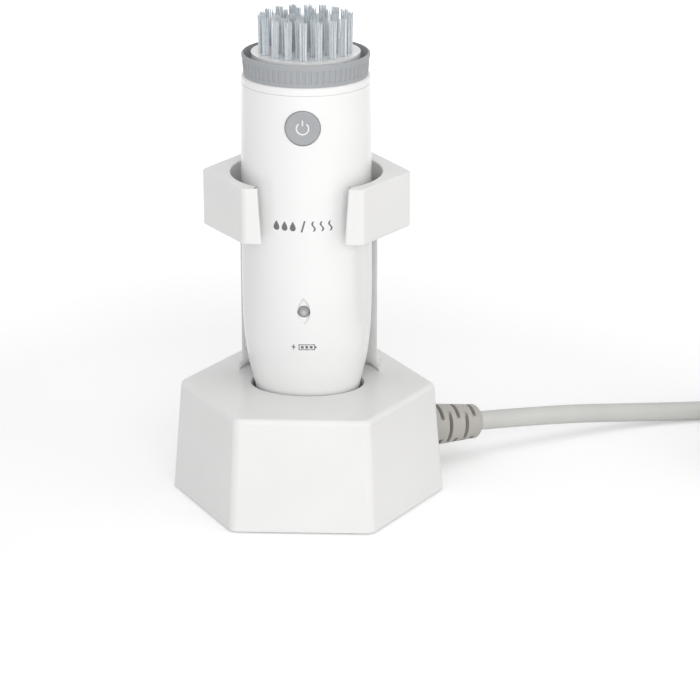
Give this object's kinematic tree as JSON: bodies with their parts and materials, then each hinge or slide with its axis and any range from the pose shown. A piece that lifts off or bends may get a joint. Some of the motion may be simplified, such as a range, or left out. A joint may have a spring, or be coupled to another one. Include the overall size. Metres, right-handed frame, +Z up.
{
  "type": "cordless hand scrubber in charging stand",
  "caption": "Cordless wet and dry hand scrubber with a rotary brush head, standing in a six-sided charging stand with a rear post, an open support collar and a coiled mains lead.",
  "frame": {"origin": "centre of the stand's footprint on the floor", "axes": "+Z up along the handle and the brush's axis, -Y towards the front of the stand, +X to the right, the side that the mains lead leaves by"},
  "size_m": [0.2755, 0.1119, 0.1597],
  "materials": {
    "white_shell": "smooth moulded, light gloss",
    "white_stand": "smooth moulded, light gloss",
    "soft_grey": "matt elastomer",
    "lead_grey": "satin flexible sheath",
    "relief_taupe": "satin flexible moulding",
    "steel": "plain bright",
    "brass": "plain",
    "copper": "enamelled winding",
    "ferrite": "sintered",
    "board_green": "solder mask",
    "black_part": "moulded",
    "cell_wrap": "shrink film",
    "gear_cream": "moulded acetal",
    "lens_grey": "smoked translucent",
    "bristle_white": "nylon filament"
  },
  "bodies": {
    "stand": {"base_shell": "white_stand", "base_plate": "white_stand", "base_screws": "steel", "rubber_feet": "soft_grey", "charging_well": "white_stand", "pot_core": "ferrite", "coil_bobbin": "black_part", "primary_coil": "copper", "charger_board": "board_green", "board_capacitor": "black_part", "board_choke": "ferrite", "board_fuse": "gear_cream", "rear_post": "white_stand", "post_screws": "steel", "support_collar": "white_stand", "collar_screws": "steel", "strain_relief": "relief_taupe", "relief_clip": "black_part", "cord_coil": "lead_grey", "mains_cord": "lead_grey", "supply_leads": "black_part", "plug_body": "lead_grey", "plug_blades": "brass"},
    "handle": {"front_shell": "white_shell", "rear_shell": "white_shell", "shell_screws": "steel", "end_cap": "white_shell", "end_seal": "soft_grey", "pickup_core": "ferrite", "pickup_coil": "copper", "battery_cell": "cell_wrap", "battery_contacts": "brass", "chassis": "black_part", "main_board": "board_green", "charge_led": "lens_grey", "charge_lens": "lens_grey", "micro_switch": "black_part", "ring_gear": "gear_cream", "motor_can": "steel", "motor_magnets": "ferrite", "shaft_bush": "brass", "shaft_seal": "soft_grey", "nose_ring": "white_shell", "splash_skirt": "soft_grey"},
    "button": {"power_button": "soft_grey"},
    "armature": {"motor_armature": "steel", "sun_gear": "brass"},
    "carrier": {"planet_carrier": "gear_cream"},
    "planet_1": {"planet_gear_1": "gear_cream"},
    "planet_2": {"planet_gear_2": "gear_cream"},
    "planet_3": {"planet_gear_3": "gear_cream"},
    "brush": {"brush_hub": "white_shell", "bristle_tufts": "bristle_white"}
  },
  "joints": [
    {"name": "handle_lift", "type": "slide", "parent": "stand", "child": "handle", "axis": [0, 0, 1], "range_m": [0, 0.11]},
    {"name": "button_press", "type": "slide", "parent": "handle", "child": "button", "axis": [0, 1, 0], "range_m": [0, 0.0006], "stiffness_N_per_m": 1500, "springref_m": -0.0004},
    {"name": "brush_spin", "type": "hinge", "parent": "handle", "child": "carrier", "pos_m": [0, 0, 0.13], "axis": [0, 0, 1], "continuous": true},
    {"name": "motor_spin", "type": "hinge", "parent": "handle", "child": "armature", "pos_m": [0, 0, 0.1], "axis": [0, 0, 1], "continuous": true},
    {"name": "planet_spin_1", "type": "hinge", "parent": "carrier", "child": "planet_1", "pos_m": [0.0072, 0, 0.116], "axis": [0, 0, 1], "continuous": true},
    {"name": "planet_spin_2", "type": "hinge", "parent": "carrier", "child": "planet_2", "pos_m": [-0.0036, 0.00624, 0.116], "axis": [0, 0, 1], "continuous": true},
    {"name": "planet_spin_3", "type": "hinge", "parent": "carrier", "child": "planet_3", "pos_m": [-0.0036, -0.00624, 0.116], "axis": [0, 0, 1], "continuous": true},
    {"name": "brush_pull", "type": "slide", "parent": "carrier", "child": "brush", "axis": [0, 0, 1], "range_m": [0, 0.03]}
  ],
  "couplings": [
    {"joint": "motor_spin", "follows": "brush_spin", "ratio": 4},
    {"joint": "planet_spin_1", "follows": "brush_spin", "ratio": -3},
    {"joint": "planet_spin_2", "follows": "brush_spin", "ratio": -3},
    {"joint": "planet_spin_3", "follows": "brush_spin", "ratio": -3}
  ]
}
